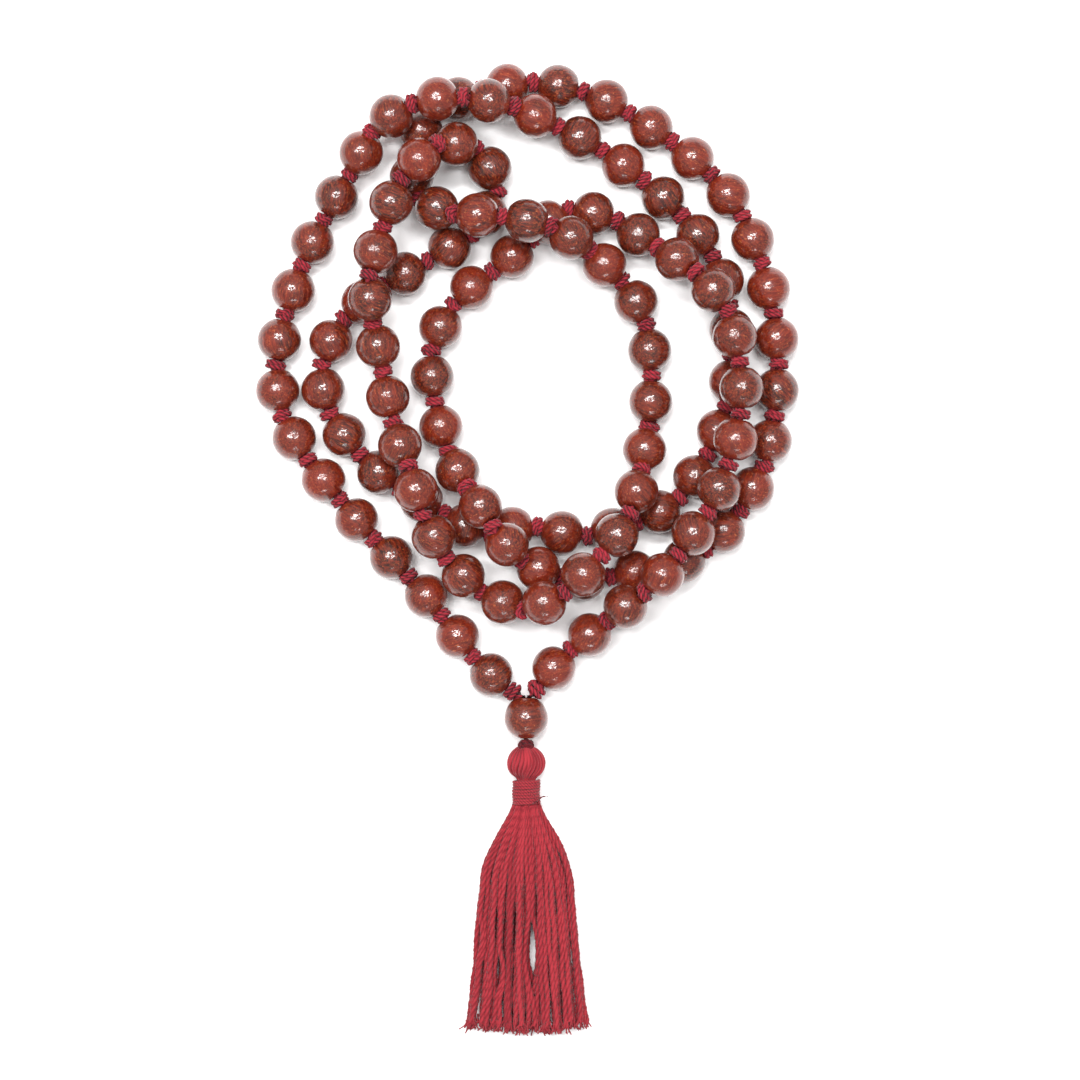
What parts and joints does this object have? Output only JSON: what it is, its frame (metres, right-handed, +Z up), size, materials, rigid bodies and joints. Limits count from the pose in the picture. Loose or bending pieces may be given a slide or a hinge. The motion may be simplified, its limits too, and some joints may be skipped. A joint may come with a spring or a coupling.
{
  "type": "knotted prayer bead mala",
  "caption": "Hand-knotted wooden prayer bead mala, lying in four loose turns, with a guru bead and a cotton tassel.",
  "frame": {"origin": "middle of the outline of the whole object, on the surface that it lies on", "axes": "+Z up from the table, -Y towards the tassel end, +X to the right when the tassel points at the viewer"},
  "size_m": [0.0994, 0.1768, 0.0169],
  "materials": {
    "rosewood": "gloss lacquer",
    "cotton": "matte plied cotton"
  },
  "bodies": {
    "root": {"thread": "cotton", "knots": "cotton", "beads_017_020": "rosewood", "beads_021_024": "rosewood", "beads_025_028": "rosewood", "beads_029_032": "rosewood", "beads_033_036": "rosewood", "beads_037_040": "rosewood", "beads_041_044": "rosewood", "beads_045_048": "rosewood", "beads_049_052": "rosewood", "beads_053_056": "rosewood", "beads_057_060": "rosewood", "beads_061_064": "rosewood", "beads_065_068": "rosewood", "beads_069_072": "rosewood", "beads_073_076": "rosewood", "beads_077_080": "rosewood", "beads_081_084": "rosewood", "beads_085_088": "rosewood", "beads_089_092": "rosewood"},
    "tassel_link": {"end_knot": "cotton"},
    "tassel": {"tassel_head": "cotton", "tassel_collar": "cotton"},
    "skirt": {"tassel_skirt": "cotton"},
    "guru_bead": {"guru_bead": "rosewood"},
    "bead_001": {"bead_001": "rosewood"},
    "bead_002": {"bead_002": "rosewood"},
    "bead_003": {"bead_003": "rosewood"},
    "bead_004": {"bead_004": "rosewood"},
    "bead_005": {"bead_005": "rosewood"},
    "bead_006": {"bead_006": "rosewood"},
    "bead_007": {"bead_007": "rosewood"},
    "bead_008": {"bead_008": "rosewood"},
    "bead_009": {"bead_009": "rosewood"},
    "bead_010": {"bead_010": "rosewood"},
    "bead_011": {"bead_011": "rosewood"},
    "bead_012": {"bead_012": "rosewood"},
    "bead_013": {"bead_013": "rosewood"},
    "bead_014": {"bead_014": "rosewood"},
    "bead_015": {"bead_015": "rosewood"},
    "bead_016": {"bead_016": "rosewood"},
    "bead_093": {"bead_093": "rosewood"},
    "bead_094": {"bead_094": "rosewood"},
    "bead_095": {"bead_095": "rosewood"},
    "bead_096": {"bead_096": "rosewood"},
    "bead_097": {"bead_097": "rosewood"},
    "bead_098": {"bead_098": "rosewood"},
    "bead_099": {"bead_099": "rosewood"},
    "bead_100": {"bead_100": "rosewood"},
    "bead_101": {"bead_101": "rosewood"},
    "bead_102": {"bead_102": "rosewood"},
    "bead_103": {"bead_103": "rosewood"},
    "bead_104": {"bead_104": "rosewood"},
    "bead_105": {"bead_105": "rosewood"},
    "bead_106": {"bead_106": "rosewood"},
    "bead_107": {"bead_107": "rosewood"},
    "bead_108": {"bead_108": "rosewood"}
  },
  "joints": [
    {"name": "tassel_swing", "type": "hinge", "parent": "root", "child": "tassel_link", "pos_m": [-0.00023, -0.03628, 0.004], "axis": [0, 0, 1], "range_deg": [-35, 35]},
    {"name": "tassel_lift", "type": "hinge", "parent": "tassel_link", "child": "tassel", "pos_m": [-0.00023, -0.03628, 0.004], "axis": [-1, 0, 0], "range_deg": [0, 36]},
    {"name": "skirt_sway", "type": "hinge", "parent": "tassel", "child": "skirt", "pos_m": [-0.00023, -0.0501, 0.0031], "axis": [0, 0, 1], "range_deg": [-25, 25]},
    {"name": "guru_spin", "type": "hinge", "parent": "root", "child": "guru_bead", "pos_m": [-0.00023, -0.03118, 0.004], "axis": [0, 1, 0], "continuous": true},
    {"name": "turn_001", "type": "hinge", "parent": "root", "child": "bead_001", "pos_m": [-0.00663, -0.02329, 0.004], "axis": [-0.7462, 0.6657, 0], "continuous": true},
    {"name": "turn_002", "type": "hinge", "parent": "root", "child": "bead_002", "pos_m": [-0.01275, -0.01625, 0.004], "axis": [-0.5867, 0.8098, 0], "continuous": true},
    {"name": "turn_003", "type": "hinge", "parent": "root", "child": "bead_003", "pos_m": [-0.01854, -0.00886, 0.004], "axis": [-0.6541, 0.7564, 0], "continuous": true},
    {"name": "turn_004", "type": "hinge", "parent": "root", "child": "bead_004", "pos_m": [-0.0249, -0.00194, 0.004], "axis": [-0.6907, 0.7231, 0], "continuous": true},
    {"name": "turn_005", "type": "hinge", "parent": "root", "child": "bead_005", "pos_m": [-0.03122, 0.00501, 0.004], "axis": [-0.6534, 0.757, 0], "continuous": true},
    {"name": "turn_006", "type": "hinge", "parent": "root", "child": "bead_006", "pos_m": [-0.03723, 0.01223, 0.004], "axis": [-0.6223, 0.7828, 0], "continuous": true},
    {"name": "turn_007", "type": "hinge", "parent": "root", "child": "bead_007", "pos_m": [-0.04257, 0.01995, 0.004], "axis": [-0.5062, 0.8624, 0], "continuous": true},
    {"name": "turn_008", "type": "hinge", "parent": "root", "child": "bead_008", "pos_m": [-0.04568, 0.02863, 0.004], "axis": [-0.1299, 0.9915, 0], "continuous": true},
    {"name": "turn_009", "type": "hinge", "parent": "root", "child": "bead_009", "pos_m": [-0.04528, 0.0379, 0.004], "axis": [0.1926, 0.9813, 0], "continuous": true},
    {"name": "turn_010", "type": "hinge", "parent": "root", "child": "bead_010", "pos_m": [-0.0428, 0.04694, 0.004], "axis": [0.3268, 0.9451, 0], "continuous": true},
    {"name": "turn_011", "type": "hinge", "parent": "root", "child": "bead_011", "pos_m": [-0.03926, 0.05563, 0.00409], "axis": [0.4305, 0.9023, 0.0241], "continuous": true},
    {"name": "turn_012", "type": "hinge", "parent": "root", "child": "bead_012", "pos_m": [-0.03481, 0.06388, 0.00455], "axis": [0.511, 0.8557, 0.0816], "continuous": true},
    {"name": "turn_013", "type": "hinge", "parent": "root", "child": "bead_013", "pos_m": [-0.03021, 0.07165, 0.00665], "axis": [0.4555, 0.7976, 0.3954], "continuous": true},
    {"name": "turn_014", "type": "hinge", "parent": "root", "child": "bead_014", "pos_m": [-0.02463, 0.07786, 0.01027], "axis": [0.8009, 0.5094, 0.3146], "continuous": true},
    {"name": "turn_015", "type": "hinge", "parent": "root", "child": "bead_015", "pos_m": [-0.01618, 0.08073, 0.0119], "axis": [0.9928, 0.1129, 0.0387], "continuous": true},
    {"name": "turn_016", "type": "hinge", "parent": "root", "child": "bead_016", "pos_m": [-0.00701, 0.08048, 0.01095], "axis": [0.9567, -0.1508, -0.2489], "continuous": true},
    {"name": "turn_093", "type": "hinge", "parent": "root", "child": "bead_093", "pos_m": [-0.01018, 0.04746, 0.004], "axis": [0.7694, 0.6387, 0], "continuous": true},
    {"name": "turn_094", "type": "hinge", "parent": "root", "child": "bead_094", "pos_m": [-0.00275, 0.05313, 0.004], "axis": [0.7836, 0.6213, 0], "continuous": true},
    {"name": "turn_095", "type": "hinge", "parent": "root", "child": "bead_095", "pos_m": [0.00383, 0.05945, 0.004], "axis": [0.7506, 0.6607, 0], "continuous": true},
    {"name": "turn_096", "type": "hinge", "parent": "root", "child": "bead_096", "pos_m": [0.01205, 0.06094, 0.00408], "axis": [0.9684, -0.2486, 0.0213], "continuous": true},
    {"name": "turn_097", "type": "hinge", "parent": "root", "child": "bead_097", "pos_m": [0.02021, 0.05696, 0.00532], "axis": [0.7899, -0.5522, 0.2668], "continuous": true},
    {"name": "turn_098", "type": "hinge", "parent": "root", "child": "bead_098", "pos_m": [0.02706, 0.05216, 0.00924], "axis": [0.7031, -0.5138, 0.4916], "continuous": true},
    {"name": "turn_099", "type": "hinge", "parent": "root", "child": "bead_099", "pos_m": [0.03347, 0.04627, 0.01179], "axis": [0.6147, -0.783, 0.0952], "continuous": true},
    {"name": "turn_100", "type": "hinge", "parent": "root", "child": "bead_100", "pos_m": [0.03731, 0.03795, 0.01219], "axis": [0.2393, -0.9709, -0.0029], "continuous": true},
    {"name": "turn_101", "type": "hinge", "parent": "root", "child": "bead_101", "pos_m": [0.03855, 0.02869, 0.01202], "axis": [0.0227, -0.9993, -0.0308], "continuous": true},
    {"name": "turn_102", "type": "hinge", "parent": "root", "child": "bead_102", "pos_m": [0.03753, 0.01943, 0.01155], "axis": [-0.2291, -0.9711, -0.0673], "continuous": true},
    {"name": "turn_103", "type": "hinge", "parent": "root", "child": "bead_103", "pos_m": [0.0346, 0.01056, 0.01111], "axis": [-0.3954, -0.9183, -0.0165], "continuous": true},
    {"name": "turn_104", "type": "hinge", "parent": "root", "child": "bead_104", "pos_m": [0.0299, 0.0025, 0.01146], "axis": [-0.5734, -0.8156, 0.0776], "continuous": true},
    {"name": "turn_105", "type": "hinge", "parent": "root", "child": "bead_105", "pos_m": [0.02436, -0.00496, 0.01173], "axis": [-0.653, -0.7545, -0.0654], "continuous": true},
    {"name": "turn_106", "type": "hinge", "parent": "root", "child": "bead_106", "pos_m": [0.01772, -0.01072, 0.00924], "axis": [-0.7243, -0.5298, -0.4413], "continuous": true},
    {"name": "turn_107", "type": "hinge", "parent": "root", "child": "bead_107", "pos_m": [0.01134, -0.01597, 0.0052], "axis": [-0.7136, -0.6122, -0.3406], "continuous": true},
    {"name": "turn_108", "type": "hinge", "parent": "root", "child": "bead_108", "pos_m": [0.00483, -0.0221, 0.004], "axis": [-0.6341, -0.7733, 0], "continuous": true}
  ]
}
